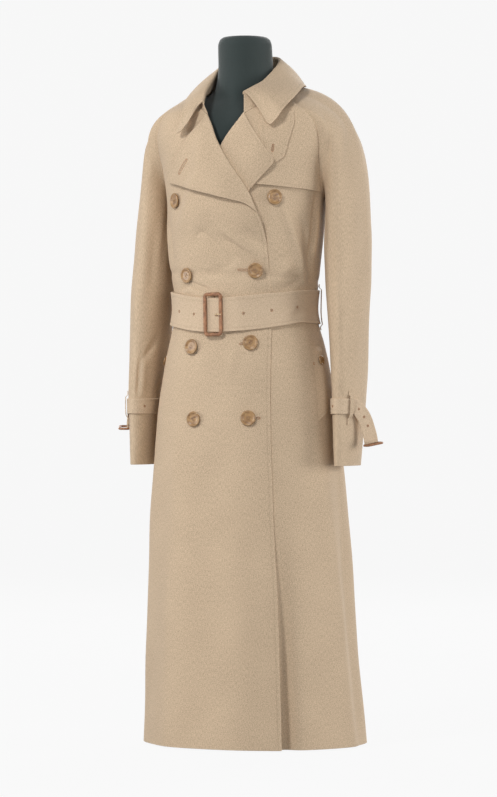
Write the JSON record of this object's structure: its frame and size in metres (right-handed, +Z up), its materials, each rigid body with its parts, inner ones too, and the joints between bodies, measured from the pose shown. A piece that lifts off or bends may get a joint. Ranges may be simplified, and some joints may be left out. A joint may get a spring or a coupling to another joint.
{
  "type": "trench coat on dress form",
  "caption": "Long double-breasted belted raglan trench coat, worn closed on a limbless dress form with a pole and a round base.",
  "frame": {"origin": "middle of the underside of the round base, on the floor", "axes": "+Z up along the pole, -Y the way the coat faces, +X the wearer's left"},
  "size_m": [0.5234, 0.372, 1.3065],
  "materials": {
    "cotton": "fine cotton gabardine, matt",
    "horn": "mottled brown horn, polished",
    "leather": "tan leather, satin",
    "brass": "aged brass",
    "form_cloth": "dark green-black jersey, matt",
    "steel": "black, satin"
  },
  "bodies": {
    "root": {"back_left": "cotton", "back_right": "cotton", "belt": "cotton", "belt_buckle": "leather", "belt_loop_left": "cotton", "belt_loop_right": "cotton", "belt_prong": "brass", "collar_leaf": "cotton", "collar_stand": "cotton", "dress_form": "form_cloth", "front_button_left_1": "horn", "front_button_left_2": "horn", "front_button_left_3": "horn", "front_button_left_4": "horn", "front_button_right_1": "horn", "front_button_right_2": "horn", "front_button_right_3": "horn", "front_button_right_4": "horn", "front_left": "cotton", "front_right": "cotton", "lapel_left": "cotton", "lapel_right": "cotton", "pocket_button_left": "horn", "pocket_button_right": "horn", "pocket_welt_left": "cotton", "pocket_welt_right": "cotton", "sleeve_left_back": "cotton", "sleeve_left_front": "cotton", "sleeve_right_back": "cotton", "sleeve_right_front": "cotton", "sleeve_strap_left": "cotton", "sleeve_strap_right": "cotton", "stand_base": "steel", "stand_pole": "steel", "storm_flap": "cotton", "strap_buckle_left": "leather", "strap_buckle_right": "leather", "strap_loop_left": "cotton", "strap_loop_right": "cotton", "throat_latch": "cotton"}
  },
  "joints": []
}
